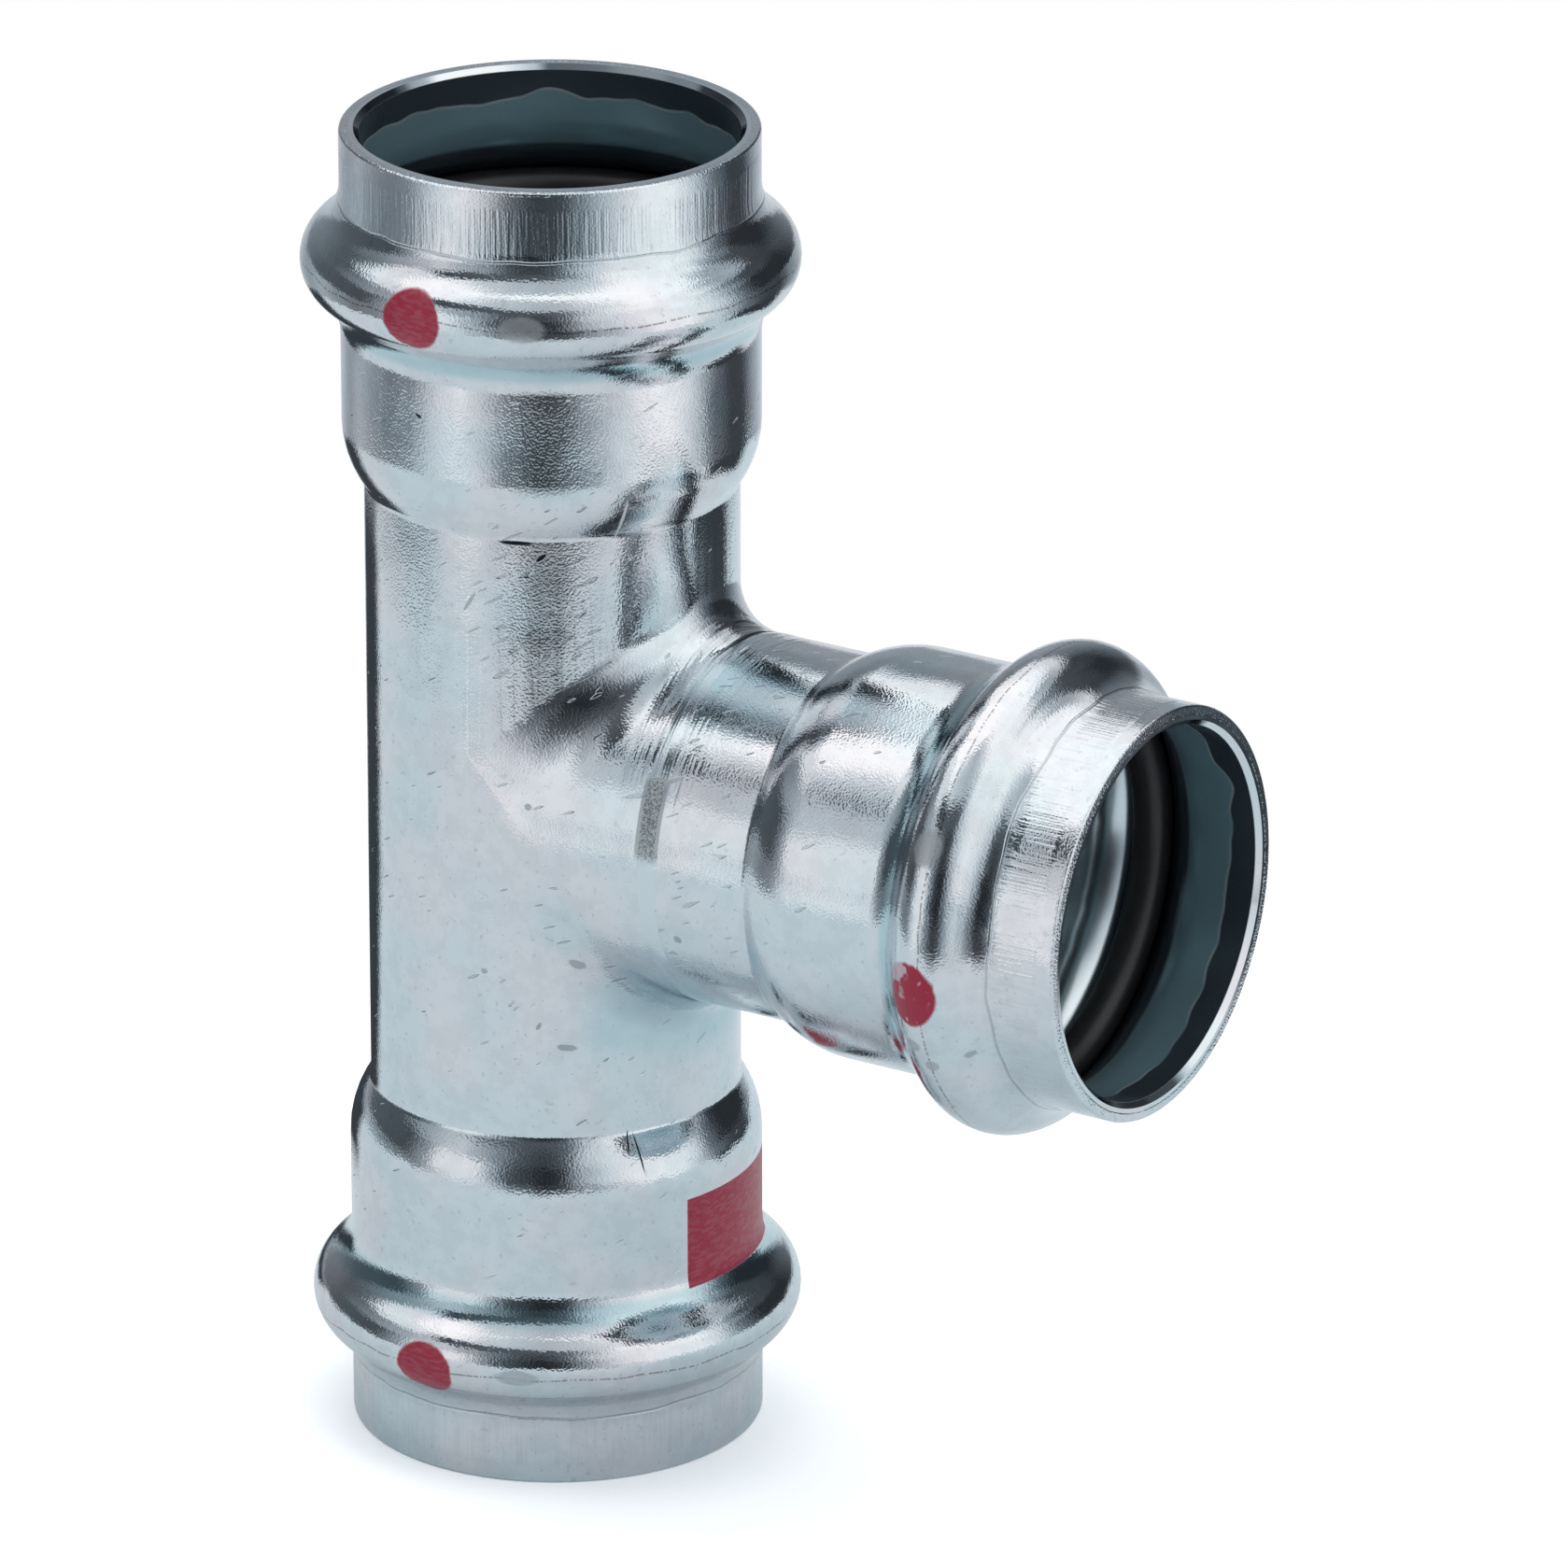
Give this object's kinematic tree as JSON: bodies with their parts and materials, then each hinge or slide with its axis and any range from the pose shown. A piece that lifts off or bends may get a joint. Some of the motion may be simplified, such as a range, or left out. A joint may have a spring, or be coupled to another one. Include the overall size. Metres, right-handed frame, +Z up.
{
  "type": "press tee",
  "caption": "Equal press-fit pipe tee in zinc-plated steel: a run tube with a press socket at each end, a side branch socket welded to a drawn collar, and a rubber sealing ring in each socket bead.",
  "frame": {"origin": "centre of the lower socket's mouth, which is the plane that the tee stands on", "axes": "+Z up along the run to the upper mouth, +X out along the branch to its mouth"},
  "size_m": [0.0715, 0.037, 0.1025],
  "materials": {
    "zinc_plated_steel": "bright zinc plating, slightly bluish, with fine draw marks and handling scratches",
    "weld_seam": "fine rough weld bead under the same plating",
    "seal_rubber": "smooth black moulded rubber"
  },
  "bodies": {
    "root": {"tee_body": "zinc_plated_steel", "branch_socket": "zinc_plated_steel", "branch_weld": "weld_seam", "lower_ring": "seal_rubber", "upper_ring": "seal_rubber", "branch_ring": "seal_rubber"}
  },
  "joints": []
}
